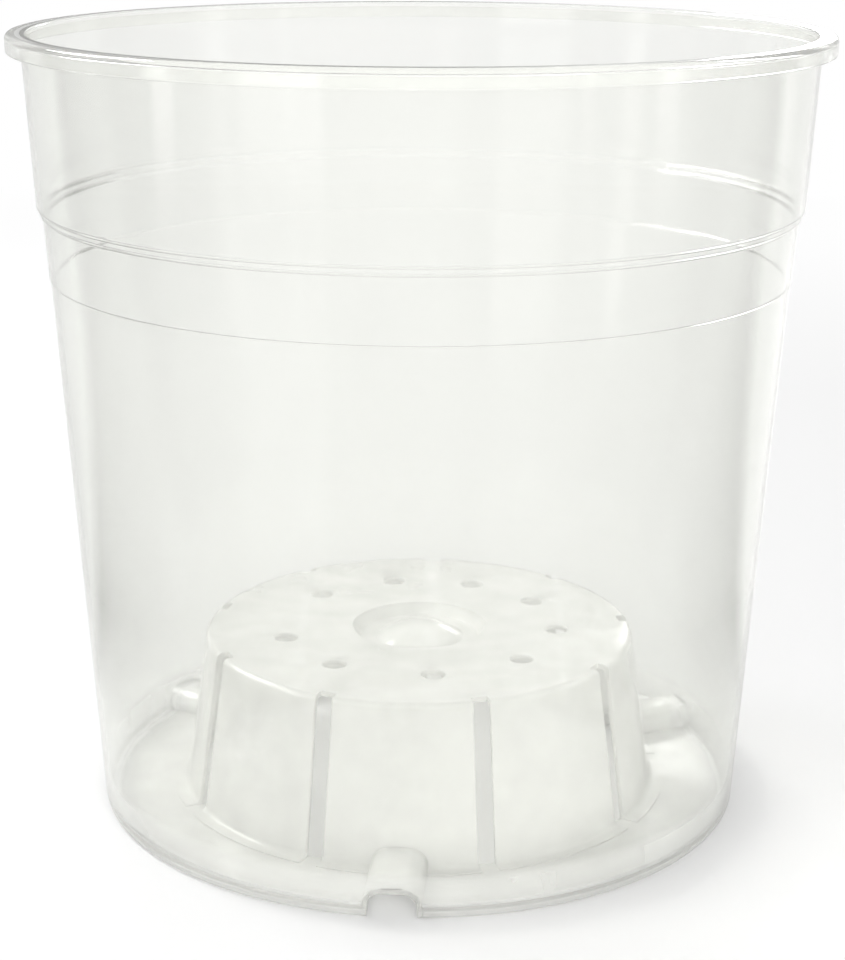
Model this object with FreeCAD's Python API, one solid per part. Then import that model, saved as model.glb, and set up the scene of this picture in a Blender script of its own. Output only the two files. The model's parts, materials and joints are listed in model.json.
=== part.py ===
import FreeCAD, Part
import math
import os

# Clear orchid pot, thin-walled and moulded in one piece, in millimetres and degrees.
# Origin: middle of the circle that the foot stands on. +Z is up and the front is -Y.
# The pot is written as its moulded sections, which meet face to face.

# Whole pot
rim_diameter = 150.0
pot_height = 147.4
foot_diameter = 124.4
wall = 1.0

# Rolled rim: a flange that turns down into a lip, open underneath
rim_overhang = 2.6
rim_drop = 3.3
rim_skin = 1.0
rim_top_round = 0.9
rim_inner_round = 0.4
rim_lip_round = 0.35

# Stacking shoulder: where the wall steps out, so that nested pots don't jam
shoulder_height = 114.5
shoulder_rise = 2.5
shoulder_width = 0.95
shoulder_round = 0.9

# Fine moulded line a little under the shoulder, where the wall steps out by a hair
line_drop = 11.3
line_rise = 0.8
line_width = 0.25

# Lower wall
lower_draft = 3.6

# Foot ring, and the floor that is lifted off the ground behind it
floor_lift = 0.8
floor_skin = 1.0
foot_width = 1.6
foot_round = 1.2
foot_edge_round = 0.3
corner_round = 2.2
corner_floor = 0.6
base_margin = 1.2

# Pedestal: a hollow cone in the middle of the floor, with a flat pierced top
pedestal_diameter = 83.4
pedestal_height = 32.1
pedestal_draft = 8.4
pedestal_skin = 1.0
pedestal_edge = 2.2
pedestal_edge_round = 1.4
pedestal_inner_round = 0.6
skirt_foot_round = 1.2
skirt_toe = 2.6
skirt_toe_skin = 0.25

# Air slots: they run down the skirt to the floor and bite into the edge of the top
slot_count = 9
slot_width = 3.2
slot_bite = 2.2
slot_phase = 15.7

# Drain holes in the top, by their angle from the front towards +X, as the pot has them
hole_diameter = 4.4
hole_circle_diameter = 53.8
hole_angles = (5.5, 46.0, 85.0, 121.5, 156.0, 191.5, 228.0, 286.5, 324.0)

# Dimple with a dome in it, at the middle of the top
dimple_diameter = 26.2
dimple_depth = 2.2
dimple_slope = 1.6
dimple_round = 0.7
dome_diameter = 17.4
dome_height = 2.7

# Drain tunnels: arches under the floor, from notches in the foot to the hollow pedestal
tunnel_count = 3
tunnel_width = 9.2
tunnel_height = 4.9
tunnel_skin = 0.9
tunnel_round = 2.4
tunnel_draft = 4.0

# Overrun of cutting shapes past what they cut, and the share of a side that a round may take
overrun = 2.0
round_share = 0.49

# Values that follow from the driving ones
rim_radius = rim_diameter / 2
foot_radius = foot_diameter / 2
pedestal_radius = pedestal_diameter / 2
dimple_radius = dimple_diameter / 2
dome_radius = dome_diameter / 2
floor_top = floor_lift + floor_skin
shoulder_top = shoulder_height + shoulder_rise
line_height = shoulder_height - line_drop
line_top = line_height + line_rise
rim_seat = pot_height - rim_skin
foot_inner = foot_radius - foot_round - foot_width
base_height = tunnel_height + tunnel_skin + base_margin
floor_edge = foot_radius - wall - corner_round - corner_floor
edge_seat = pedestal_height - pedestal_edge
slot_pitch = 360 / slot_count
tunnel_pitch = 360 / tunnel_count
first_tunnel = slot_phase - slot_pitch / 2

axis_point = FreeCAD.Vector(0, 0, 0)
axis_up = FreeCAD.Vector(0, 0, 1)


def leaning(draft, height):
    """How far a face that leans by draft degrees moves out over a height."""
    return height * math.tan(math.radians(draft))


def lower_radius(height):
    """Outer radius of the lower wall."""
    return foot_radius + leaning(lower_draft, height)


def band_radius(height):
    """Outer radius of the band between the fine line and the shoulder."""
    return lower_radius(height) + line_width


def skirt_radius(height):
    """Outer radius of the pedestal's skirt."""
    return pedestal_radius + leaning(pedestal_draft, pedestal_height - height)


def rounded_wire(corners, place):
    """Closed wire through corners (a, b, round), each rounded where its sides leave room."""
    flat = [FreeCAD.Vector(a, b, 0) for a, b, radius in corners]
    edges = []
    ends = []
    for index, (a, b, radius) in enumerate(corners):
        corner = flat[index]
        back = flat[index - 1] - corner
        ahead = flat[(index + 1) % len(flat)] - corner
        half_turn = back.getAngle(ahead) / 2
        room = round_share * min(back.Length, ahead.Length) * math.tan(half_turn)
        radius = min(radius, room)
        if radius == 0:
            ends.append((corner, None, corner))
            continue
        reach = radius / math.tan(half_turn)
        start = corner + back.normalize() * reach
        end = corner + ahead.normalize() * reach
        inward = (back + ahead).normalize()
        middle = corner + inward * (radius / math.sin(half_turn) - radius)
        ends.append((start, middle, end))
    for index, (start, middle, end) in enumerate(ends):
        before = ends[index - 1][2]
        edges.append(Part.LineSegment(place(before), place(start)).toShape())
        if middle is not None:
            edges.append(Part.Arc(place(start), place(middle), place(end)).toShape())
    return Part.Wire(edges)


def revolved(corners):
    """Solid of revolution about the pot's axis, from corners (radius, height, round)."""
    wire = rounded_wire(corners, lambda point: FreeCAD.Vector(point.x, 0, point.y))
    return Part.Face(wire).revolve(axis_point, axis_up, 360)


def turned(shape, angle):
    """A copy of a shape made along +X, turned to an angle counted from the front."""
    copy = shape.copy()
    copy.rotate(axis_point, axis_up, angle - 90)
    return copy


def patterned(shape, count, first_angle):
    """Evenly spaced copies of a shape made along +X, as one list."""
    return [turned(shape, first_angle + step * 360 / count) for step in range(count)]


def bearing(shape):
    """Angle of a piece's middle, counted from the front towards +X."""
    middle = shape.CenterOfMass
    return math.degrees(math.atan2(middle.x, -middle.y)) % 360


# Rim and wall

def rim_lip():
    """Flange and turned-down lip, seated on the wall's top edge."""
    wall_inside = rim_radius - rim_overhang - wall
    lip_inside = rim_radius - rim_skin
    lip_bottom = pot_height - rim_drop
    return revolved([
        (wall_inside, rim_seat, 0),
        (wall_inside, pot_height, rim_inner_round),
        (rim_radius, pot_height, rim_top_round),
        (rim_radius, lip_bottom, rim_lip_round),
        (lip_inside, lip_bottom, rim_lip_round),
        (lip_inside, rim_seat, rim_lip_round),
    ])


def upper_wall():
    """Tapered wall from the shoulder to the rim."""
    top = rim_radius - rim_overhang
    bottom = band_radius(shoulder_top) + shoulder_width
    return revolved([
        (bottom - wall, shoulder_top, 0),
        (bottom, shoulder_top, 0),
        (top, rim_seat, 0),
        (top - wall, rim_seat, 0),
    ])


def stacking_shoulder():
    """Ledge where the wall steps out, with a soft bend at both ends."""
    low = band_radius(shoulder_height)
    high = band_radius(shoulder_top) + shoulder_width
    bend = shoulder_rise / 3
    return revolved([
        (low - wall, shoulder_height, 0),
        (low, shoulder_height, 0),
        (band_radius(shoulder_height + bend), shoulder_height + bend, shoulder_round),
        (high, shoulder_top - bend, shoulder_round),
        (high, shoulder_top, 0),
        (high - wall, shoulder_top, 0),
        (high - wall, shoulder_top - bend, shoulder_round),
        (band_radius(shoulder_height + bend) - wall, shoulder_height + bend, shoulder_round),
    ])


def shoulder_band():
    """Wall between the fine line and the shoulder, a hair wider than the wall below."""
    low = lower_radius(line_height)
    high = band_radius(shoulder_height)
    return revolved([
        (low - wall, line_height, 0),
        (low, line_height, 0),
        (band_radius(line_top), line_top, line_rise / 2),
        (high, shoulder_height, 0),
        (high - wall, shoulder_height, 0),
        (band_radius(line_top) - wall, line_top, line_rise / 2),
    ])


def lower_wall():
    """Long tapered wall from the base to the fine line."""
    low = lower_radius(base_height)
    high = lower_radius(line_height)
    return revolved([
        (low - wall, base_height, 0),
        (low, base_height, 0),
        (high, line_height, 0),
        (high - wall, line_height, 0),
    ])


# Drain tunnels and base

def arch(width, height, radius):
    """Solid arch along +X, from inside the pedestal to outside the wall."""
    start = pedestal_radius - overrun
    length = foot_radius + leaning(lower_draft, base_height) + overrun - start
    half = width / 2
    top_half = half - leaning(tunnel_draft, height)
    wire = rounded_wire([
        (-half, 0, 0),
        (half, 0, 0),
        (top_half, height, radius),
        (-top_half, height, radius),
    ], lambda point: FreeCAD.Vector(start, point.x, point.y))
    return Part.Face(wire).extrude(FreeCAD.Vector(length, 0, 0))


def arches():
    """Outer form of the three tunnels, which the floor, foot and skirt make room for."""
    outer = arch(tunnel_width + 2 * tunnel_skin, tunnel_height + tunnel_skin, tunnel_round + tunnel_skin)
    return patterned(outer, tunnel_count, first_tunnel)


def foot_corners():
    """Underside of the foot ring, from the lifted floor out to the wall's outer face."""
    return [
        (foot_inner, floor_lift, foot_edge_round),
        (foot_inner, 0, foot_edge_round),
        (foot_radius, 0, foot_round),
        (lower_radius(base_height), base_height, 0),
    ]


def base_ring():
    """Foot ring and bottom corner of the pot, notched where the tunnels come out."""
    inside = lower_radius(floor_top) - wall
    ring = revolved([
        (floor_edge, floor_lift, 0),
        *foot_corners(),
        (lower_radius(base_height) - wall, base_height, 0),
        (inside, floor_top, corner_round),
        (floor_edge, floor_top, 0),
    ])
    return ring.cut(arches())


def drain_tunnels():
    """Arched shells that carry water and air under the floor to the hollow pedestal."""
    outer = arch(tunnel_width + 2 * tunnel_skin, tunnel_height + tunnel_skin, tunnel_round + tunnel_skin)
    inner = arch(tunnel_width, tunnel_height, tunnel_round)
    reach = revolved([
        (skirt_radius(floor_lift) - pedestal_skin, floor_lift, 0),
        *foot_corners(),
        (skirt_radius(base_height) - pedestal_skin, base_height, 0),
    ])
    shells = patterned(outer.cut(inner), tunnel_count, first_tunnel)
    return [shell.common(reach) for shell in shells]


def trough_floors():
    """Floor of the trough round the pedestal, in the stretches between the tunnels."""
    inside = skirt_radius(floor_top) - pedestal_skin
    ring = revolved([
        (inside, floor_lift, 0),
        (floor_edge, floor_lift, 0),
        (floor_edge, floor_top, 0),
        (inside, floor_top, 0),
    ])
    return sorted(ring.cut(arches()).Solids, key=bearing)


# Pedestal

def slots():
    """Cutters of the air slots, from the floor up through the edge of the top."""
    start = pedestal_radius - slot_bite
    length = skirt_radius(floor_top) + skirt_toe + overrun - start
    height = pedestal_height + overrun - floor_top
    corner = FreeCAD.Vector(start, -slot_width / 2, floor_top)
    return patterned(Part.makeBox(length, slot_width, height, corner), slot_count, slot_phase)


def skirt_panels():
    """Panels of the pedestal's skirt, one between each pair of slots."""
    foot = skirt_radius(floor_top)
    edge = skirt_radius(edge_seat)
    toe_top = floor_top + skirt_toe_skin
    skirt = revolved([
        (foot - pedestal_skin, floor_top, 0),
        (foot + skirt_toe, floor_top, 0),
        (foot + skirt_toe, toe_top, 0),
        (skirt_radius(toe_top), toe_top, skirt_foot_round),
        (edge, edge_seat, 0),
        (edge - pedestal_skin, edge_seat, 0),
    ])
    panels = skirt.cut(slots() + arches())
    return sorted(panels.Solids, key=bearing)


def pedestal_top():
    """Pierced top of the pedestal with its rounded edge, open at the middle for the dimple."""
    edge = skirt_radius(edge_seat)
    under = pedestal_height - pedestal_skin
    plate = revolved([
        (dimple_radius, under, 0),
        (skirt_radius(under) - pedestal_skin, under, pedestal_inner_round),
        (edge - pedestal_skin, edge_seat, 0),
        (edge, edge_seat, 0),
        (pedestal_radius, pedestal_height, pedestal_edge_round),
        (dimple_radius, pedestal_height, 0),
    ])
    place = FreeCAD.Vector(hole_circle_diameter / 2, 0, under - overrun)
    drill = Part.makeCylinder(hole_diameter / 2, pedestal_skin + 2 * overrun, place)
    holes = [turned(drill, angle) for angle in hole_angles]
    return plate.cut(slots() + holes)


def center_dimple():
    """Round recess with a low dome that rises from its floor."""
    dish = pedestal_height - dimple_depth
    lean = dimple_slope
    sphere = (dome_radius ** 2 + dome_height ** 2) / (2 * dome_height)
    center_height = dish + dome_height - sphere
    under = sphere - pedestal_skin
    under_reach = math.sqrt(under ** 2 - (dish - pedestal_skin - center_height) ** 2)
    dish_wire = rounded_wire([
        (0, dish - pedestal_skin, 0),
        (dimple_radius - lean, dish - pedestal_skin, dimple_round),
        (dimple_radius, pedestal_height - pedestal_skin, 0),
        (dimple_radius, pedestal_height, 0),
        (dimple_radius - lean, dish, dimple_round),
        (0, dish, 0),
    ], lambda point: FreeCAD.Vector(point.x, 0, point.y))
    dish_solid = Part.Face(dish_wire).revolve(axis_point, axis_up, 360)
    middle = FreeCAD.Vector(0, 0, center_height)
    cap = Part.makeSphere(sphere, middle)
    above = Part.makeCylinder(dome_radius, dome_height, FreeCAD.Vector(0, 0, dish))
    hollow = Part.makeSphere(under, middle)
    below = Part.makeCylinder(under_reach, dome_height + pedestal_skin, FreeCAD.Vector(0, 0, dish - pedestal_skin))
    dome = dish_solid.fuse(cap.common(above))
    return dome.cut(hollow.common(below)).removeSplitter()


def numbered(name, pieces):
    """Pieces of one kind under numbered names."""
    return {f"{name}_{number}": piece for number, piece in enumerate(pieces, start=1)}


nodes = {
    "rim_lip": rim_lip(),
    "upper_wall": upper_wall(),
    "stacking_shoulder": stacking_shoulder(),
    "shoulder_band": shoulder_band(),
    "lower_wall": lower_wall(),
    "base_ring": base_ring(),
    **numbered("drain_tunnel", drain_tunnels()),
    **numbered("trough_floor", trough_floors()),
    **numbered("skirt_panel", skirt_panels()),
    "pedestal_top": pedestal_top(),
    "center_dimple": center_dimple(),
}

os.makedirs("parts", exist_ok=True)
for name, shape in nodes.items():
    solid = shape.Solids[0]
    print(f"{name}: {len(shape.Solids)} solid, {solid.Volume:.1f} cubic mm, valid {solid.isValid()}")
    solid.exportStep(f"parts/{name}.step")
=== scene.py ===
# %% [markdown]
# # A clear orchid pot with slots
# The real pot is one thin moulding of clear, slightly milky plastic: a tapered wall under a
# rolled rim, and inside it a hollow pedestal with air slots, drain holes and drain tunnels.
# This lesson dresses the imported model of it. Each section of the moulding is modelled again,
# finely, in the place of its CAD node, and gets one see-through plastic finish.

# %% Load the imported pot
import json
import math

import bmesh
import bpy
from mathutils import Matrix, Vector

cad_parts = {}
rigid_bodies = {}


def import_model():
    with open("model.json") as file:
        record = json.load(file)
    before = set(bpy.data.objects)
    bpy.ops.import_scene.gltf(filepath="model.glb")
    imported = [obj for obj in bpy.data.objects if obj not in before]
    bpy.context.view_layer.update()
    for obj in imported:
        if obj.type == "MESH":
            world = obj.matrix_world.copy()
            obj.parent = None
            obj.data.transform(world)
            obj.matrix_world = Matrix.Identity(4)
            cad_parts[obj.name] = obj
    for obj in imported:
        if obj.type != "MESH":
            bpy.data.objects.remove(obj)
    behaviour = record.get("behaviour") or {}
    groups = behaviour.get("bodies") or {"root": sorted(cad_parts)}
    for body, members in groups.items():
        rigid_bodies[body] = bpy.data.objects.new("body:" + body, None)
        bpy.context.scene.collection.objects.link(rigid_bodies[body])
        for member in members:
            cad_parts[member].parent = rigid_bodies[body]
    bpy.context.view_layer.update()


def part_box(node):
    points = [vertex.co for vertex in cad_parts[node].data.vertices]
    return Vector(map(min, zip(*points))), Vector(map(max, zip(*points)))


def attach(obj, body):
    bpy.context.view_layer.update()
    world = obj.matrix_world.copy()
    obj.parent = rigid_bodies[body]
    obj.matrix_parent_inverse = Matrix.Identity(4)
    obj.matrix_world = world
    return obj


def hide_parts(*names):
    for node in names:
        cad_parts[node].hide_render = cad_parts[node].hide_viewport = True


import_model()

mm = 0.001

# %% [markdown]
# ## Camera
# The camera stands where the photograph was taken from: about 40 cm in front of the pot's axis
# and 18 cm above the ground, looking a little down. The place, tilt and lens come from fitting
# the outline, the rim and the foot. The picture is 845 by 960 pixels, so its long side, 960,
# carries the 36 mm of the sensor.

# %% Place the camera
camera_distance = 401.7 * mm
camera_height = 178.9 * mm
camera_pitch = math.radians(16.28)
camera_roll = math.radians(0.235)
sensor_width = 36.0
picture_width = 845
picture_height = 960
focal_pixels = 2161.7
axis_column = 419.95

camera_data = bpy.data.cameras.new("camera")
camera_data.sensor_width = sensor_width
camera_data.lens = focal_pixels * sensor_width / picture_height
camera_data.shift_x = (picture_width / 2 - axis_column) / picture_height
camera = bpy.data.objects.new("camera", camera_data)
bpy.context.scene.collection.objects.link(camera)
camera.location = (0, -camera_distance, camera_height)
tilt = Matrix.Rotation(math.pi / 2 - camera_pitch, 4, "X")
camera.rotation_euler = (tilt @ Matrix.Rotation(camera_roll, 4, "Z")).to_euler()
bpy.context.scene.camera = camera
print("lens", round(camera_data.lens, 2), "mm, shift", round(camera_data.shift_x, 4))

# %% [markdown]
# ## Sizes
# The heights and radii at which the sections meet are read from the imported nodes, so every new
# piece seats where its node does. The skins and rounds are the moulding's own values.

# %% Read the levels and radii
rim_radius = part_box("rim_lip")[1].x
rim_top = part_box("rim_lip")[1].z
lip_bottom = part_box("rim_lip")[0].z
seat_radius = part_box("upper_wall")[1].x
rim_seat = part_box("upper_wall")[1].z
shoulder_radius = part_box("stacking_shoulder")[1].x
shoulder_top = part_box("stacking_shoulder")[1].z
shoulder_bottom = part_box("stacking_shoulder")[0].z
band_top_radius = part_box("shoulder_band")[1].x
line_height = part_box("shoulder_band")[0].z
line_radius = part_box("lower_wall")[1].x
base_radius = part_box("base_ring")[1].x
base_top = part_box("base_ring")[1].z
floor_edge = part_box("trough_floor_1")[1].x
floor_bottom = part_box("trough_floor_1")[0].z
floor_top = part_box("trough_floor_1")[1].z
edge_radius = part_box("pedestal_top")[1].x
edge_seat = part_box("pedestal_top")[0].z
pedestal_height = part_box("pedestal_top")[1].z
dimple_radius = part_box("center_dimple")[1].x
dome_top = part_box("center_dimple")[1].z
tunnel_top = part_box("drain_tunnel_1")[1].z

wall = 1.0 * mm
wall_lean = (line_radius - base_radius) / (line_height - base_top)
skirt_lean = math.tan(math.radians(8.4))
line_width = band_top_radius - line_radius - wall_lean * (shoulder_bottom - line_height)


def lower_radius(height):
    """Outer radius of the lower wall."""
    return base_radius + wall_lean * (height - base_top)


def band_radius(height):
    """Outer radius of the band between the fine line and the shoulder."""
    return lower_radius(height) + line_width


def skirt_radius(height):
    """Outer radius of the pedestal's skirt."""
    return edge_radius + skirt_lean * (edge_seat - height)


print("wall leans", round(math.degrees(math.atan(wall_lean)), 2), "degrees")
print("fine line steps out", round(line_width / mm, 3), "mm")

# %% [markdown]
# ## Sections as outlines
# A section of the pot is drawn once, as corners with a radius, a height and a round. Each
# rounded corner is worked out as an arc, so the outline stays short and the curves stay true.

# %% Round the corners of an outline
arc_step = math.radians(12)
least_steps = 2
round_share = 0.49


def rounded(corners):
    """Points (radius, height) of a closed outline, with its rounds as arcs."""
    points = []
    for index, (radius, height, bend) in enumerate(corners):
        corner = Vector((radius, height))
        back = Vector(corners[index - 1][:2]) - corner
        ahead = Vector(corners[(index + 1) % len(corners)][:2]) - corner
        half = back.angle(ahead) / 2
        bend = min(bend, round_share * min(back.length, ahead.length) * math.tan(half))
        if bend == 0:
            points.append(corner)
            continue
        back.normalize()
        ahead.normalize()
        start = corner + back * bend / math.tan(half)
        middle = corner + (back + ahead).normalized() * bend / math.sin(half)
        side = 1 if ahead.cross(back) > 0 else -1
        turn = side * (math.pi - 2 * half)
        steps = max(least_steps, math.ceil(abs(turn) / arc_step))
        for step in range(steps + 1):
            spoke = Matrix.Rotation(turn * step / steps, 2) @ (start - middle)
            points.append(middle + spoke)
    return points


right_angle = [(0, 0, 0.2), (1, 0, 0), (0, 1, 0)]
print("points on a rounded right angle:", len(rounded(right_angle)) - 2)

# %% [markdown]
# ## Turning
# Nearly every section is round, so each starts as a circle primitive. Its ring of edges is
# extruded and scaled through the outline, one point after another, as on a lathe. The last
# ring meets the first, and merging them closes the skin. All pieces have the same number of
# sides, so that neighbours meet edge to edge and their seams can't be seen.

# %% Turn an outline into a ring
sides = 288
merge_distance = 0.0002 * mm


def choose(*pieces):
    """Selects only these objects and makes the first one active."""
    bpy.ops.object.select_all(action="DESELECT")
    for piece in pieces:
        piece.select_set(True)
    bpy.context.view_layer.objects.active = pieces[0]


def pick(piece, kind, test):
    """In edit mode, selects only the vertices, edges or faces that pass the test."""
    bpy.ops.mesh.select_mode(type=kind)
    bpy.ops.mesh.select_all(action="DESELECT")
    mesh = bmesh.from_edit_mesh(piece.data)
    items = {"VERT": mesh.verts, "EDGE": mesh.edges, "FACE": mesh.faces}[kind]
    for item in items:
        item.select_set(bool(test(item)))
    bmesh.update_edit_mesh(piece.data)


def trace(points, radius, height):
    """Extrudes the selected ring of edges through the outline's points."""
    for next_radius, next_height in points:
        rise = next_height - height
        bpy.ops.mesh.extrude_edges_move(TRANSFORM_OT_translate={"value": (0, 0, rise)})
        share = next_radius / radius
        bpy.ops.transform.resize(value=(share, share, 1), center_override=(0, 0, next_height))
        radius, height = next_radius, next_height


def clean_mesh():
    """Merges doubles and turns all faces outwards, in edit mode."""
    bpy.ops.mesh.select_all(action="SELECT")
    bpy.ops.mesh.remove_doubles(threshold=merge_distance)
    bpy.ops.mesh.normals_make_consistent(inside=False)


def start_ring(name, radius, height, corners=sides, fill="NOTHING"):
    """A circle primitive in edit mode, with its ring of edges selected."""
    bpy.ops.object.select_all(action="DESELECT")
    bpy.ops.mesh.primitive_circle_add(
        vertices=corners, radius=radius, location=(0, 0, height), fill_type=fill
    )
    piece = bpy.context.object
    piece.name = name
    bpy.ops.object.transform_apply(location=True, rotation=True, scale=True)
    bpy.ops.object.mode_set(mode="EDIT")
    bpy.ops.mesh.select_mode(type="EDGE")
    bpy.ops.mesh.select_all(action="SELECT")
    return piece


def turn_ring(name, corners):
    """Closed ring with the outline as its section."""
    points = rounded(corners)
    piece = start_ring(name, *points[0])
    trace(points[1:] + points[:1], *points[0])
    clean_mesh()
    bpy.ops.object.mode_set(mode="OBJECT")
    return piece


def volume(piece):
    """Volume in cubic millimetres, which is right only if the skin is closed."""
    mesh = bmesh.new()
    mesh.from_mesh(piece.data)
    result = mesh.calc_volume() / mm ** 3
    mesh.free()
    return result


print("sides of a ring:", sides)

# %% [markdown]
# ## Finish of a piece
# The sections meet face to face inside the plastic, where the real moulding has no surface. So
# the faces of each seam get a second material that shows nothing, and the eye passes through
# from one section to the next. The rest is smooth, with true edges kept sharp by their angle.

# %% Seams and smooth shading
sharp_angle = math.radians(32)
at_seam = 0.01 * mm
at_barrel = 10 * at_seam
flat_normal = 0.99
upright_normal = 0.01


def level(height):
    """Test for faces that lie flat at a height."""
    return lambda face: (
        abs(face.normal.z) > flat_normal and abs(face.center.z - height) < at_seam
    )


def barrel(radius):
    """Test for faces that stand upright round the axis at a radius."""
    return lambda face: (
        abs(face.normal.z) < upright_normal and abs(face.center.xy.length - radius) < at_barrel
    )


def dress(piece, node, seams):
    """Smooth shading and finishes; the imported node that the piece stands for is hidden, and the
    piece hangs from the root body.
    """
    choose(piece)
    bpy.ops.object.shade_smooth_by_angle(angle=sharp_angle)
    piece.data.materials.clear()
    piece.data.materials.append(clear_plastic)
    piece.data.materials.append(open_seam)
    hidden = 0
    for face in piece.data.polygons:
        unseen = any(test(face) for test in seams)
        face.material_index = int(unseen)
        hidden += unseen
    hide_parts(node)
    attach(piece, "root")
    count = len(piece.data.polygons)
    print(f"{piece.name}: {volume(piece):.0f} cubic mm, {hidden} of {count} faces at seams")


print("edges stay sharp from", round(math.degrees(sharp_angle)), "degrees")

# %% [markdown]
# ## Shader sums
# The finish mixes a few masks. Written as nodes by hand, that is a long list of links, so one
# small class wraps a socket and lets sums be written as sums, such as `1 - mask`.

# %% Sockets that add up
class Mask:
    """A number socket in a material. Sums on it add Math nodes."""

    def __init__(self, finish, socket):
        self.finish = finish
        self.socket = socket

    def sum(self, operation, *values):
        """A Math node with that operation on the values."""
        node = self.finish.add("ShaderNodeMath", {"operation": operation}, *values)
        return self.finish.mask(node)

    def __add__(self, other):
        return self.sum("ADD", self, other)

    def __radd__(self, other):
        return self.sum("ADD", other, self)

    def __sub__(self, other):
        return self.sum("SUBTRACT", self, other)

    def __rsub__(self, other):
        return self.sum("SUBTRACT", other, self)

    def __mul__(self, other):
        return self.sum("MULTIPLY", self, other)

    def __rmul__(self, other):
        return self.sum("MULTIPLY", other, self)

    def limit(self):
        """The value kept between 0 and 1."""
        return self.sum("MAXIMUM", self.sum("MINIMUM", self, 1), 0)


class Finish:
    """A material or world under construction."""

    def __init__(self, owner):
        owner.use_nodes = True
        self.tree = owner.node_tree
        self.tree.nodes.clear()
        self.owner = owner

    def add(self, kind, settings, *values, **named):
        """A node: its settings come first, then its sockets in order or by name."""
        node = self.tree.nodes.new(kind)
        for name, value in settings.items():
            setattr(node, name, value)
        for key, value in list(enumerate(values)) + list(named.items()):
            socket = node.inputs[key.replace("_", " ") if isinstance(key, str) else key]
            if isinstance(value, Mask):
                value = value.socket
            if isinstance(value, bpy.types.NodeSocket):
                self.tree.links.new(value, socket)
            else:
                socket.default_value = value
        return node

    def mask(self, node, output=0):
        """One output of a node, ready for sums."""
        return Mask(self, node.outputs[output])

    def mix(self, share, first, second):
        """A Mix Shader: the first shader at a share of 0, the second at 1."""
        return self.add("ShaderNodeMixShader", {}, share, first.outputs[0], second.outputs[0])


def between(value, low, high):
    """0 below low, 1 above high, and a straight climb in between."""
    return ((value - low) * (1 / (high - low))).limit()


print("ready:", Mask.__name__, "and", Finish.__name__)

# %% [markdown]
# ## Clear plastic
# Clear moulded plastic bends and mirrors light like glass. A little is scattered by the milky
# haze in it, and most of all in the pedestal, where the plastic was fed in. So a glass shader
# and a soft pale body are mixed, from all glass at a haze of 0 to all body at 1. The wall, the
# pedestal's skirt and top, the foot and the rim each have a level of haze, and noise breaks it
# up. Lamps shine through the plastic with a loss at each skin, and the foot holds back more of
# their light, which makes the pot's soft shadow. Moulded walls are never quite true, and a
# slow ripple in the normals bends the highlights.

# %% Make the plastic
wall_haze = 0.085
skirt_haze = 0.42
plate_haze = 0.34
base_haze = 0.25
rim_haze = 0.14
core_mottle = 0.24
haze_streaks = 0.06
foot_shade = 0.35

core_start = 56 * mm
core_end = 60 * mm
plate_blend = 8 * mm
foot_blend = 2 * mm
rim_blend_start = 2.5 * mm
rim_blend_end = 1.5 * mm

plastic_colour = (0.96, 0.962, 0.935, 1)
pass_colour = (0.954, 0.956, 0.947, 1)
shade_colour = (0.965, 0.965, 0.955, 1)
plastic_index = 1.49
glass_roughness = 0.04
body_roughness = 0.4
coat_weight = 0.8
coat_roughness = 0.1

upright_stretch = 0.15
streak_noise = {"Scale": 90, "Detail": 3}
cloud_noise = {"Scale": 25, "Detail": 2}
mottle_noise = {"Scale": 110, "Detail": 3}
ripple_noise = {"Scale": 38, "Detail": 1}
ripple_depth = 0.12 * mm
noise_middle = 0.5


def noise(finish, place, values):
    """Random mask with its middle at about a half."""
    return finish.mask(finish.add("ShaderNodeTexNoise", {}, Vector=place, **values))


def haze_levels(plastic, place, tall):
    """How milky the plastic is from place to place, and the mask of its foot."""
    flat = plastic.add("ShaderNodeVectorMath", {"operation": "MULTIPLY"}, place, (1, 1, 0))
    reach = plastic.add("ShaderNodeVectorMath", {"operation": "LENGTH"}, flat.outputs[0])
    height = plastic.mask(plastic.add("ShaderNodeSeparateXYZ", {}, place), "Z")
    core = 1 - between(plastic.mask(reach, "Value"), core_start, core_end)
    plate = between(height, edge_seat - plate_blend, edge_seat)
    rim = between(height, rim_seat - rim_blend_start, rim_seat - rim_blend_end)
    foot = (1 - between(height, base_top, base_top + foot_blend)) * (1 - core)
    haze = wall_haze + (skirt_haze - wall_haze) * core
    haze = haze + (plate_haze - skirt_haze) * core * plate
    haze = haze + (rim_haze - wall_haze) * rim + (base_haze - wall_haze) * foot
    streaks = noise(plastic, tall, streak_noise) + noise(plastic, place, cloud_noise)
    mottle = noise(plastic, place, mottle_noise)
    haze = haze + haze_streaks * (streaks - 2 * noise_middle)
    haze = haze + core_mottle * core * (mottle - noise_middle)
    return haze, foot


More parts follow.
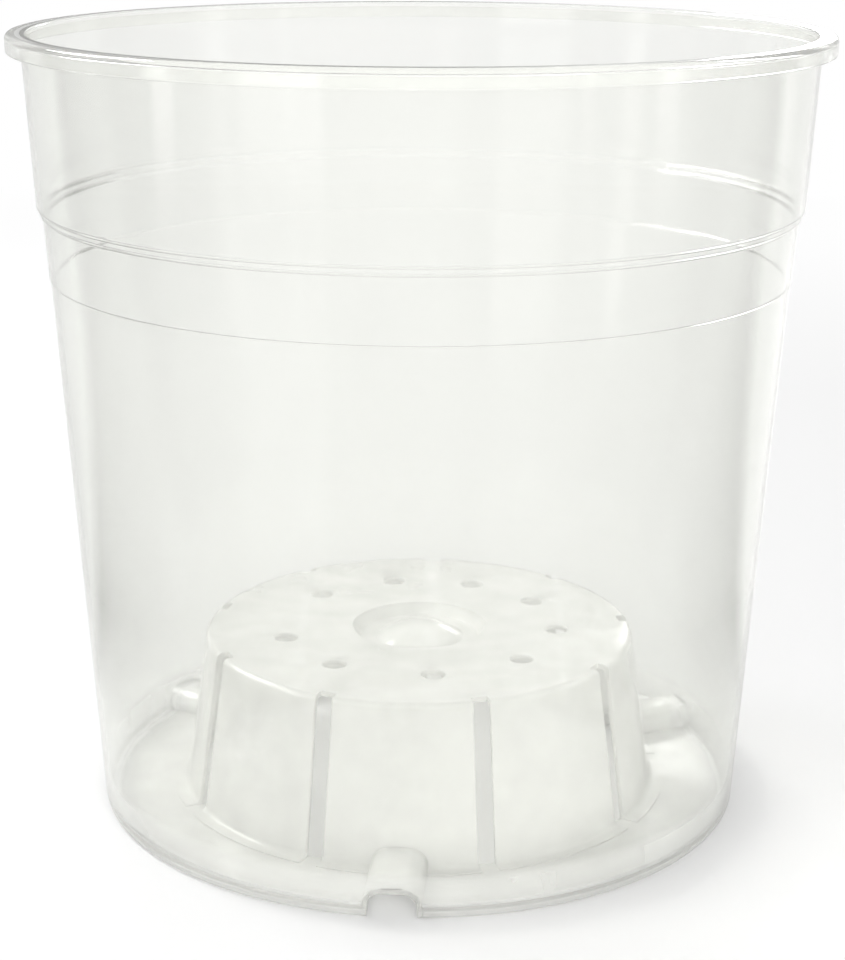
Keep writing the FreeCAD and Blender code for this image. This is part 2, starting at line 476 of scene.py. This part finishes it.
def make_plastic():
    """Glass-like, slightly milky plastic with a rippled skin."""
    plastic = Finish(bpy.data.materials.new("clear_plastic"))
    place = plastic.add("ShaderNodeTexCoord", {}).outputs["Object"]
    tall = plastic.add("ShaderNodeMapping", {}, place, Scale=(1, 1, upright_stretch)).outputs[0]
    ripple = noise(plastic, tall, ripple_noise)
    bump = plastic.add("ShaderNodeBump", {}, Height=ripple, Distance=ripple_depth, Strength=1.0)
    body = plastic.add(
        "ShaderNodeBsdfPrincipled",
        {},
        Base_Color=plastic_colour,
        Roughness=body_roughness,
        Specular_IOR_Level=0.0,
        Coat_Weight=coat_weight,
        Coat_Roughness=coat_roughness,
        Normal=bump.outputs[0],
    )
    clear = plastic.add(
        "ShaderNodeBsdfGlass",
        {},
        Color=pass_colour,
        Roughness=glass_roughness,
        IOR=plastic_index,
        Normal=bump.outputs[0],
    )
    shaded = plastic.add("ShaderNodeBsdfTransparent", {}, Color=shade_colour)
    shadow_ray = plastic.mask(plastic.add("ShaderNodeLightPath", {}), "Is Shadow Ray")
    open_part = plastic.mix(shadow_ray, clear, shaded)
    haze, foot = haze_levels(plastic, place, tall)
    haze = (haze + foot_shade * foot * shadow_ray).limit()
    whole = plastic.mix(haze, open_part, body)
    plastic.add("ShaderNodeOutputMaterial", {}, whole.outputs[0])
    return plastic.owner


def make_open_seam():
    """Nothing to see: the place where two sections of one moulding meet."""
    seam = Finish(bpy.data.materials.new("open_seam"))
    clear = seam.add("ShaderNodeBsdfTransparent", {}, Color=(1, 1, 1, 1))
    seam.add("ShaderNodeOutputMaterial", {}, clear.outputs[0])
    return seam.owner


clear_plastic = make_plastic()
open_seam = make_open_seam()
print("finishes:", clear_plastic.name, "and", open_seam.name)

# %% [markdown]
# ## Rim
# The rim is a flange that turns down into a lip, open underneath, so that fingers can lift it.

# %% Turn the rim
rim_skin = rim_top - rim_seat
lip_inside = rim_radius - rim_skin
rim_inner_round = 0.4 * mm
rim_outer_round = 0.9 * mm
lip_round = 0.35 * mm
rim_lip = turn_ring("rim", [
    (seat_radius - wall, rim_seat, 0),
    (seat_radius - wall, rim_top, rim_inner_round),
    (rim_radius, rim_top, rim_outer_round),
    (rim_radius, lip_bottom, lip_round),
    (lip_inside, lip_bottom, lip_round),
    (lip_inside, rim_seat, lip_round),
    (seat_radius, rim_seat, 0),
])
dress(rim_lip, "rim_lip", [
    lambda face: level(rim_seat)(face) and face.center.xy.length < seat_radius,
])

# %% [markdown]
# ## Walls
# Three tapered stretches with a shoulder between them. The shoulder keeps stacked pots from
# jamming, and its slope is two small steps, which catch the light as two lines. The fine line
# below it is the step of the mould's collar.

# %% Turn the walls
upper_wall = turn_ring("wall_upper", [
    (shoulder_radius - wall, shoulder_top, 0),
    (shoulder_radius, shoulder_top, 0),
    (seat_radius, rim_seat, 0),
    (seat_radius - wall, rim_seat, 0),
])
dress(upper_wall, "upper_wall", [level(shoulder_top), level(rim_seat)])

shoulder_lines = (0.25 * mm, 1.6 * mm)
step_rise = 0.5 * mm
step_round = 0.25 * mm
first_line, second_line = [shoulder_bottom + rise for rise in shoulder_lines]
ledge_radius = (band_top_radius + shoulder_radius) / 2
shoulder_steps = [
    (band_radius(first_line), first_line, step_round),
    (ledge_radius, first_line + step_rise, step_round),
    (ledge_radius, second_line, step_round),
    (shoulder_radius, second_line + step_rise, step_round),
]
stacking_shoulder = turn_ring("shoulder", [
    (band_top_radius - wall, shoulder_bottom, 0),
    (band_top_radius, shoulder_bottom, 0),
    *shoulder_steps,
    (shoulder_radius, shoulder_top, 0),
    (shoulder_radius - wall, shoulder_top, 0),
    *[(radius - wall, height, bend) for radius, height, bend in reversed(shoulder_steps)],
])
dress(stacking_shoulder, "stacking_shoulder", [level(shoulder_bottom), level(shoulder_top)])

line_rise = 0.35 * mm
line_top = line_height + line_rise
shoulder_band = turn_ring("wall_band", [
    (line_radius - wall, line_height, 0),
    (line_radius, line_height, 0),
    (band_radius(line_top), line_top, line_rise / 2),
    (band_top_radius, shoulder_bottom, 0),
    (band_top_radius - wall, shoulder_bottom, 0),
    (band_radius(line_top) - wall, line_top, line_rise / 2),
])
dress(shoulder_band, "shoulder_band", [level(line_height), level(shoulder_bottom)])

lower_wall = turn_ring("wall_lower", [
    (base_radius - wall, base_top, 0),
    (base_radius, base_top, 0),
    (line_radius, line_height, 0),
    (line_radius - wall, line_height, 0),
])
dress(lower_wall, "lower_wall", [level(base_top), level(line_height)])

# %% [markdown]
# ## Blocks that cut
# The slots are parallel-sided and the tunnels are arches. Both start as a cube primitive, which
# edit mode shapes further for the arches, and a Boolean modifier then cuts with it.

# %% Cut with a modifier
overrun = 2.0 * mm
slot_count = 9
slot_width = 3.2 * mm
slot_bite = 2.2 * mm
slot_phase = 15.7
tunnel_count = 3
full_turn = 360
front_angle = -90
slot_pitch = full_turn / slot_count
tunnel_pitch = full_turn / tunnel_count
first_tunnel = slot_phase - slot_pitch / 2


def cut(piece, cutter, operation="DIFFERENCE"):
    """Applies a Boolean modifier that cuts the piece with another object."""
    choose(piece)
    tool = piece.modifiers.new("cut", "BOOLEAN")
    tool.operation = operation
    tool.object = cutter
    tool.solver = "EXACT"
    bpy.ops.object.modifier_apply(modifier=tool.name)


def turned_copy(piece, name, angle):
    """A copy with its own mesh, turned about the pot's axis by degrees from the front."""
    copy = piece.copy()
    copy.data = piece.data.copy()
    copy.name = name
    bpy.context.scene.collection.objects.link(copy)
    copy.data.transform(Matrix.Rotation(math.radians(angle + front_angle), 4, "Z"))
    return copy


def spread(piece, name, angles):
    """Copies of a tool at several angles round the pot, joined as one object."""
    copies = [turned_copy(piece, name, angle) for angle in angles]
    choose(*copies)
    bpy.ops.object.join()
    return copies[0]


def drop(*pieces):
    """Deletes tools that have done their work."""
    for piece in pieces:
        bpy.data.objects.remove(piece)


def block(name, low, high):
    """Cube primitive between two corners."""
    bpy.ops.object.select_all(action="DESELECT")
    middle = (low + high) / 2
    bpy.ops.mesh.primitive_cube_add(size=1, location=middle, scale=high - low)
    piece = bpy.context.object
    piece.name = name
    bpy.ops.object.transform_apply(location=True, rotation=True, scale=True)
    return piece


print("slots every", slot_pitch, "degrees, tunnels every", tunnel_pitch)

# %% [markdown]
# ## Arches of the tunnels
# The tunnel is a block with its two long top edges rounded. A larger and a smaller one make
# the shell, and the larger one also cuts the floor, the foot and the skirt.

# %% Shape the arches
pedestal_radius = skirt_radius(pedestal_height)
tunnel_skin = 0.9 * mm
tunnel_width = 9.2 * mm
tunnel_height = tunnel_top - tunnel_skin
tunnel_round = 2.4 * mm
tunnel_draft = math.tan(math.radians(4.0))
tunnel_segments = 8


def arch(name, width, height, bend):
    """Arch along +X, from inside the pedestal to outside the wall, open at the ground."""
    low = Vector((pedestal_radius - overrun, -width / 2, -overrun))
    high = Vector((lower_radius(base_top) + overrun, width / 2, height))
    piece = block(name, low, high)
    bpy.ops.object.mode_set(mode="EDIT")
    pick(piece, "FACE", lambda face: face.normal.z > flat_normal)
    narrow = 1 - 2 * tunnel_draft * height / width
    bpy.ops.transform.resize(value=(1, narrow, 1), center_override=(0, 0, height))
    pick(piece, "EDGE", lambda edge: (
        all(abs(corner.co.z - height) < at_seam for corner in edge.verts)
        and abs(edge.verts[0].co.x - edge.verts[1].co.x) > overrun
    ))
    bpy.ops.mesh.bevel(
        offset=bend, offset_type="OFFSET", segments=tunnel_segments, affect="EDGES"
    )
    clean_mesh()
    bpy.ops.object.mode_set(mode="OBJECT")
    return piece


outer_width = tunnel_width + 2 * tunnel_skin
outer_arch = arch("outer_arch", outer_width, tunnel_top, tunnel_round + tunnel_skin)
inner_arch = arch("inner_arch", tunnel_width, tunnel_height, tunnel_round)
tunnel_angles = [first_tunnel + step * tunnel_pitch for step in range(tunnel_count)]
outer_arches = spread(outer_arch, "outer_arches", tunnel_angles)
print("arches:", len(tunnel_angles), "tall", round(tunnel_top / mm, 2), "mm")

# %% [markdown]
# ## Base ring
# The foot is a narrow ring. Behind it the floor is lifted off the ground, and above it the
# corner bends up into the wall. The three notches are where the tunnels come out.

# %% Turn and notch the base ring
foot_round = 1.2 * mm
foot_width = 1.6 * mm
foot_edge_round = 0.3 * mm
corner_round = 2.2 * mm
foot_radius = lower_radius(0)
foot_inner = foot_radius - foot_round - foot_width
foot_corners = [
    (foot_inner, floor_bottom, foot_edge_round),
    (foot_inner, 0, foot_edge_round),
    (foot_radius, 0, foot_round),
    (base_radius, base_top, 0),
]
base_ring = turn_ring("base_ring_foot", [
    (floor_edge, floor_bottom, 0),
    *foot_corners,
    (base_radius - wall, base_top, 0),
    (lower_radius(floor_top) - wall, floor_top, corner_round),
    (floor_edge, floor_top, 0),
])
cut(base_ring, outer_arches)
dress(base_ring, "base_ring", [level(base_top), barrel(floor_edge)])

# %% [markdown]
# ## Drain tunnels
# The larger arch less the smaller one is a shell. It is then cut to the pot's own profile, so
# that its mouth lies flush with the wall and its foot with the ground.

# %% Shape the tunnels
skirt_skin = 1.0 * mm
tunnel_reach = turn_ring("tunnel_reach", [
    (skirt_radius(floor_bottom) - skirt_skin, floor_bottom, 0),
    *foot_corners,
    (skirt_radius(base_top) - skirt_skin, base_top, 0),
])
cut(outer_arch, inner_arch)
for number, angle in enumerate(tunnel_angles, start=1):
    tunnel = turned_copy(outer_arch, f"tunnel_{number}", angle)
    cut(tunnel, tunnel_reach, "INTERSECT")
    dress(tunnel, f"drain_tunnel_{number}", [])
drop(tunnel_reach, inner_arch, outer_arch)

# %% [markdown]
# ## Trough floor
# The floor round the pedestal is one flat ring that the tunnels cut into three.

# %% Turn and part the floor
floor_ring = turn_ring("floor_ring", [
    (skirt_radius(floor_top) - skirt_skin, floor_bottom, 0),
    (floor_edge, floor_bottom, 0),
    (floor_edge, floor_top, 0),
    (skirt_radius(floor_top) - skirt_skin, floor_top, 0),
])
cut(floor_ring, outer_arches)


def bearing(piece):
    """Angle of a piece's middle, counted from the front towards +X."""
    points = [point.co for point in piece.data.vertices]
    middle = sum(points, Vector()) / len(points)
    return math.degrees(math.atan2(middle.x, -middle.y)) % full_turn


def loose_parts(piece):
    """Separates an object into its loose parts, in order round the pot."""
    before = set(bpy.data.objects)
    choose(piece)
    bpy.ops.mesh.separate(type="LOOSE")
    return sorted([piece] + [new for new in bpy.data.objects if new not in before], key=bearing)


toe_reach = 2.6 * mm
toe_end = skirt_radius(floor_top) + toe_reach
for number, part in enumerate(loose_parts(floor_ring), start=1):
    part.name = f"floor_{number}"
    dress(part, f"trough_floor_{number}", [
        barrel(floor_edge),
        lambda face: level(floor_top)(face) and face.center.xy.length < toe_end,
    ])

# %% [markdown]
# ## Skirt of the pedestal
# The skirt is a hollow cone with a soft foot. It is turned once as a whole. Two bisecting
# planes, each along one side of a slot, leave one panel, and that panel is copied round.

# %% Turn the skirt and cut one panel from it
toe_skin = 0.25 * mm
toe_round = 1.2 * mm
slot_edge_round = 0.25 * mm
slot_edge_segments = 3
toe_top = floor_top + toe_skin


def slot_normal(side):
    """Direction straight across the slot on one side of the panel, away from the panel."""
    slot_line = Matrix.Rotation(math.radians(side * slot_pitch / 2), 3, "Z") @ Vector((1, 0, 0))
    return Vector((0, 0, 1)).cross(slot_line) * side


def along_slot(edge):
    """True for the edges of a panel's two slot sides, apart from its seams."""
    for side in (-1, 1):
        across = slot_normal(side)
        if all(abs(corner.co.dot(across) + slot_width / 2) < at_seam for corner in edge.verts):
            return not any(
                all(abs(corner.co.z - height) < at_seam for corner in edge.verts)
                for height in (floor_top, edge_seat)
            )
    return False


panel = turn_ring("panel", [
    (skirt_radius(floor_top) - skirt_skin, floor_top, 0),
    (toe_end, floor_top, 0),
    (toe_end, toe_top, 0),
    (skirt_radius(toe_top), toe_top, toe_round),
    (edge_radius, edge_seat, 0),
    (edge_radius - skirt_skin, edge_seat, 0),
])
bpy.ops.object.mode_set(mode="EDIT")
for side in (-1, 1):
    across = slot_normal(side)
    bpy.ops.mesh.select_all(action="SELECT")
    bpy.ops.mesh.bisect(
        plane_co=-across * slot_width / 2, plane_no=across, use_fill=True, clear_outer=True
    )
clean_mesh()
pick(panel, "EDGE", along_slot)
bpy.ops.mesh.bevel(offset=slot_edge_round, segments=slot_edge_segments, affect="EDGES")
bpy.ops.object.mode_set(mode="OBJECT")
panel_seams = [level(floor_top), level(edge_seat)]
for number in range(1, slot_count + 1):
    angle = slot_phase + (number - 0.5) * slot_pitch
    part = turned_copy(panel, f"skirt_{number}", angle)
    apart = [(angle - tunnel + full_turn / 2) % full_turn for tunnel in tunnel_angles]
    if min(abs(turn - full_turn / 2) for turn in apart) < slot_pitch / 2:
        cut(part, outer_arches)
    dress(part, f"skirt_panel_{number}", panel_seams)
drop(panel)

# %% [markdown]
# ## Top of the pedestal
# A flat plate with a rounded edge. The slots bite into that edge, and nine drain holes go
# through the plate. Each hole's cutter is turned with a flare at both ends, so that the cut
# leaves the soft edge that a moulded hole has.

# %% Turn the top, then cut its slots and holes
hole_radius = 2.2 * mm
hole_circle = 26.9 * mm
hole_edge_round = 0.3 * mm
hole_angles = (5.5, 46.0, 85.0, 121.5, 156.0, 191.5, 228.0, 286.5, 324.0)
hole_steps = 5
hole_sides = 40
top_skin = 1.0 * mm
under_top = pedestal_height - top_skin
top_edge_round = 1.4 * mm
under_edge_round = 0.6 * mm

pedestal_top = turn_ring("pedestal_plate", [
    (dimple_radius, under_top, 0),
    (skirt_radius(under_top) - skirt_skin, under_top, under_edge_round),
    (edge_radius - skirt_skin, edge_seat, 0),
    (edge_radius, edge_seat, 0),
    (pedestal_radius, pedestal_height, top_edge_round),
    (dimple_radius, pedestal_height, 0),
])
slot_low = Vector((pedestal_radius - slot_bite, -slot_width / 2, floor_top))
slot_high = Vector((skirt_radius(floor_top) + overrun, slot_width / 2, pedestal_height + overrun))
slot_block = block("slot_block", slot_low, slot_high)
slot_angles = [slot_phase + step * slot_pitch for step in range(slot_count)]
slot_blocks = spread(slot_block, "slot_blocks", slot_angles)
cut(pedestal_top, slot_blocks)
drop(slot_block, slot_blocks)


def hole_outline():
    """Radius and height of a hole's cutter, flared at both faces of the plate."""
    flare = []
    for step in range(hole_steps + 1):
        turn = math.pi / 2 * step / hole_steps
        radius = hole_radius + hole_edge_round * (1 - math.sin(turn))
        flare.append((radius, hole_edge_round * (1 - math.cos(turn))))
    wide = hole_radius + hole_edge_round
    return [
        (wide, under_top - overrun),
        *[(radius, under_top + depth) for radius, depth in flare],
        *[(radius, pedestal_height - depth) for radius, depth in reversed(flare)],
        (wide, pedestal_height + overrun),
    ]


points = hole_outline()
drill = start_ring("drill", *points[0], corners=hole_sides, fill="NGON")
pick(drill, "EDGE", lambda edge: True)
trace(points[1:], *points[0])
bpy.ops.mesh.edge_face_add()
clean_mesh()
bpy.ops.object.mode_set(mode="OBJECT")
drill.data.transform(Matrix.Translation((hole_circle, 0, 0)))
drills = spread(drill, "drills", hole_angles)
cut(pedestal_top, drills)
drop(drill, drills)
dress(pedestal_top, "pedestal_top", [level(edge_seat), barrel(dimple_radius)])

# %% [markdown]
# ## Dimple
# A round recess in the middle of the top, with a low dome in it where the plastic was fed in.
# It is turned as an open outline from the pole above to the pole below.

# %% Turn the dimple
dimple_slope = 1.6 * mm
dimple_round = 0.7 * mm
dimple_depth = 2.2 * mm
dome_radius = 8.7 * mm
dome_foot_round = 0.8 * mm
dish = pedestal_height - dimple_depth
dome_height = dome_top - dish
dome_sphere = (dome_radius ** 2 + dome_height ** 2) / (2 * dome_height)
dome_center = dome_top - dome_sphere
dome_steps = 14


def dome_points(radius, floor):
    """Points of a dome from near its pole out to the floor, without the pole."""
    reach = math.acos((floor - dome_center) / radius)
    points = []
    for step in range(1, dome_steps + 1):
        turn = reach * step / dome_steps
        points.append(Vector((radius * math.sin(turn), dome_center + radius * math.cos(turn))))
    return points


def turn_dish(name, points, first_pole, last_pole):
    """Closed piece on the axis, from one pole along the outline to the other."""
    piece = start_ring(name, *points[0])
    trace(points[1:], *points[0])
    for ring, pole in ((points[-1], last_pole), (points[0], first_pole)):
        pick(piece, "EDGE", lambda edge: all(
            abs(corner.co.xy.length - ring[0]) < merge_distance
            and abs(corner.co.z - ring[1]) < merge_distance
            for corner in edge.verts
        ))
        rise = pole - ring[1]
        bpy.ops.mesh.extrude_edges_move(TRANSFORM_OT_translate={"value": (0, 0, rise)})
        bpy.ops.mesh.merge(type="CENTER")
    clean_mesh()
    bpy.ops.object.mode_set(mode="OBJECT")
    return piece


upper = dome_points(dome_sphere, dish)
lower = dome_points(dome_sphere - top_skin, dish - top_skin)
bowl = rounded([
    (upper[-2].x, upper[-2].y, 0),
    (upper[-1].x, upper[-1].y, dome_foot_round),
    (dimple_radius - dimple_slope, dish, dimple_round),
    (dimple_radius, pedestal_height, 0),
    (dimple_radius, pedestal_height - top_skin, 0),
    (dimple_radius - dimple_slope, dish - top_skin, dimple_round),
    (lower[-1].x, lower[-1].y, 0),
])
dimple_points = upper[:-2] + bowl + list(reversed(lower[:-1]))
center_dimple = turn_dish("dimple", dimple_points, dome_top, dome_top - top_skin)
dress(center_dimple, "center_dimple", [barrel(dimple_radius)])
drop(outer_arches)

# %% [markdown]
# ## Room round the pot
# Gloss shows the room: a pale backdrop behind, a window and three narrow gaps of light in
# front, and a dark stretch at each side. They are drawn as a ring of light levels by azimuth,
# counted in degrees from the front towards +X, and serve the world and the far part of the
# table. A colour ramp holds values up to 1, so the levels go in as shares of the brightest.
# The camera sees plain white past the pot. A ray that came through the plastic sees that white
# by the share called veil, and for the rest the same even light as rays that are scattered.

# %% Draw the ring of light
ramp_middle = 0.5
brightest = 2.2
veil = 0.88
ceiling = 1.5
ceiling_start = 0.3
ceiling_full = 0.6
room_levels = (
    (-180, 0.50), (-170, 0.50), (-160, 0.90), (-124, 0.90), (-117, 0.25), (-80, 0.25), (-77, 0.35),
    (-75, 1.90), (-70, 1.90), (-68, 0.50), (-60, 0.50), (-50, 0.60), (-47, 1.60),
    (-26, 1.80), (-25, 0.65), (42.5, 0.65), (43.5, 1.30), (45.5, 1.20),
    (46.5, 0.60), (64, 0.60), (66, 1.60), (71, 1.50), (73, 0.60), (76, 0.40),
    (79, 0.15), (115, 0.20), (122, 1.20), (130, 1.05), (175, 1.05), (179, 0.55), (180, 0.50),
)
table_levels = (
    (-180, 1.15), (-160, 0.90), (-122, 0.90), (-112, 0.25), (-82, 0.25), (-66, 0.55),
    (-50, 0.70), (-47, 0.85), (-26, 0.90), (-24, 0.65), (27, 0.65), (60, 0.60),
    (74, 0.45), (84, 0.15), (110, 0.20), (120, 1.05), (164, 1.40), (180, 1.15),
)


def ray_kinds(finish):
    """Two masks: rays that see plain white, and mirrored rays, which see the room."""
    path = finish.add("ShaderNodeLightPath", {})
    names = ("Is Camera Ray", "Is Glossy Ray", "Is Transmission Ray")
    camera_ray, glossy_ray, through_ray = [finish.mask(path, name) for name in names]
    seen = (camera_ray + glossy_ray + through_ray).limit()
    mirrored = finish.mask(path, "Glossy Depth").limit()
    plain = (camera_ray + veil * seen).limit()
    return plain * (1 - mirrored), seen * mirrored


def room_light(finish, direction, levels):
    """Light level of the room in a direction from the pot."""
    parts = finish.add("ShaderNodeSeparateXYZ", {}, direction)
    right, back, height = [finish.mask(parts, axis) for axis in "XYZ"]
    turns = right.sum("ARCTAN2", right, -1 * back) * (1 / math.tau)
    ring = finish.add("ShaderNodeValToRGB", {}, turns + ramp_middle)
    stops = ring.color_ramp.elements
    stops[0].position, stops[1].position = 0, 1
    for angle, light in levels[1:-1]:
        stops.new(angle / full_turn + ramp_middle)
    for stop, (angle, light) in zip(stops, levels):
        share = light / brightest
        stop.color = (share, share, share, 1)
    up = between(height, ceiling_start, ceiling_full)
    return finish.mask(ring, "Color") * brightest * (1 - up) + ceiling * up


print("light levels round the pot:", len(room_levels))

# %% [markdown]
# ## Table
# A plain pale table. It is white to the camera and still takes a shadow: part of its white is
# its own glow, and the rest is light that falls on it. Far from the pot it only glows, so that
# the table and the room meet with no line. In gloss the far part shows the ring of light: its
# own softer levels near the pot, and the room's farther out.

# %% Lay the table
table_size = 6
table_colour = 0.72
table_glow = 0.1
near_table = 0.35
far_table = 0.8
near_mirrored = 0.09
far_mirrored = 0.15
near_room = 0.5
far_room = 0.9

table_finish = Finish(bpy.data.materials.new("table"))
through, gloss = ray_kinds(table_finish)
scattered = 1 - through - gloss
place = table_finish.add("ShaderNodeTexCoord", {}).outputs["Object"]
reach = table_finish.add("ShaderNodeVectorMath", {"operation": "LENGTH"}, place)
reach = table_finish.mask(reach, "Value")
far = (1 - gloss) * between(reach, near_table, far_table)
far = far + gloss * between(reach, near_mirrored, far_mirrored)
table_grey = (table_colour, table_colour, table_colour, 1)
matt = table_finish.add("ShaderNodeBsdfDiffuse", {}, Color=table_grey)
glow = table_finish.add("ShaderNodeEmission", {}, Strength=table_glow * (through + gloss))
near = table_finish.add("ShaderNodeAddShader", {}, matt.outputs[0], glow.outputs[0])
away = between(reach, near_room, far_room)
mirror_light = room_light(table_finish, place, table_levels) * (1 - away)
mirror_light = mirror_light + room_light(table_finish, place, room_levels) * away
strength = through + gloss * mirror_light + scattered * table_colour
blank = table_finish.add("ShaderNodeEmission", {}, Strength=strength)
whole = table_finish.mix(far, near, blank)
table_finish.add("ShaderNodeOutputMaterial", {}, whole.outputs[0])

bpy.ops.object.select_all(action="DESELECT")
bpy.ops.mesh.primitive_plane_add(size=table_size)
table = bpy.context.object
table.name = "table"
table.data.materials.append(table_finish.owner)
print("table:", table_size, "m wide, white from", far_table, "m")

# %% [markdown]
# ## Light of the room
# The world is the room. The camera sees it as plain white, and gloss sees the ring of light at
# a share that keeps glints from burning out. Scattered rays, which light the milky body of the
# plastic and the table, get one even level, called ambient, from all sides.

# %% Light the room
room_share = 0.8
ambient = 0.66

bpy.context.scene.world = bpy.context.scene.world or bpy.data.worlds.new("room")
room = Finish(bpy.context.scene.world)
through, gloss = ray_kinds(room)
towards = room.add("ShaderNodeTexCoord", {}).outputs["Generated"]
mirror_light = room_light(room, towards, room_levels) * room_share
strength = through + gloss * mirror_light + (1 - through - gloss) * ambient
light = room.add("ShaderNodeBackground", {}, Color=(1, 1, 1, 1), Strength=strength)
room.add("ShaderNodeOutputWorld", {}, light.outputs[0])
print("room: even light at", ambient, "and gloss at", room_share)

# %% [markdown]
# ## Lamps
# Three soft square lamps, none of them seen by the camera. The key stands high, behind the pot
# at its left, and throws the soft shadow to the lower right. The sparkle stands low behind the
# pot and gives the dome its small highlight. The fill lifts the front of the pedestal, and
# isn't seen in gloss or through the plastic, where it would draw a square.

# %% Hang the lamps
pot_middle = Vector((0, 0, 90 * mm))


def softbox(name, azimuth, distance, height, size, brightness):
    """Square area lamp that faces the pot, at an azimuth from the front towards +X."""
    lamp_data = bpy.data.lights.new(name, "AREA")
    lamp_data.shape = "SQUARE"
    lamp_data.size = size
    lamp_data.energy = brightness * math.pi * size ** 2
    lamp = bpy.data.objects.new(name, lamp_data)
    bpy.context.scene.collection.objects.link(lamp)
    around = math.radians(azimuth)
    lamp.location = Vector((math.sin(around) * distance, -math.cos(around) * distance, height))
    lamp.rotation_euler = (lamp.location - pot_middle).to_track_quat("Z", "Y").to_euler()
    lamp.visible_camera = False
    return lamp


softbox("key", azimuth=-120, distance=0.75, height=0.7, size=0.4, brightness=12.0)
softbox("sparkle", azimuth=163, distance=0.8, height=0.27, size=0.16, brightness=5.0)
fill = softbox("fill", azimuth=8, distance=0.9, height=0.25, size=0.6, brightness=6.3)
fill.visible_glossy = False
fill.visible_transmission = False

# %% [markdown]
# ## Render settings
# The Standard view keeps colours as they are written. On its way through the pot a ray meets
# the front wall, the pedestal and the back wall, each with two skins and some seams, so it may
# pass many of them before it ends.

# %% Render settings that belong to the look
scene = bpy.context.scene
scene.view_settings.view_transform = "Standard"
scene.cycles.transparent_max_bounces = 48
scene.cycles.max_bounces = 20
scene.cycles.diffuse_bounces = 3
scene.cycles.glossy_bounces = 5
scene.cycles.transmission_bounces = 18
print("view:", scene.view_settings.view_transform, "- bounces:", scene.cycles.max_bounces)
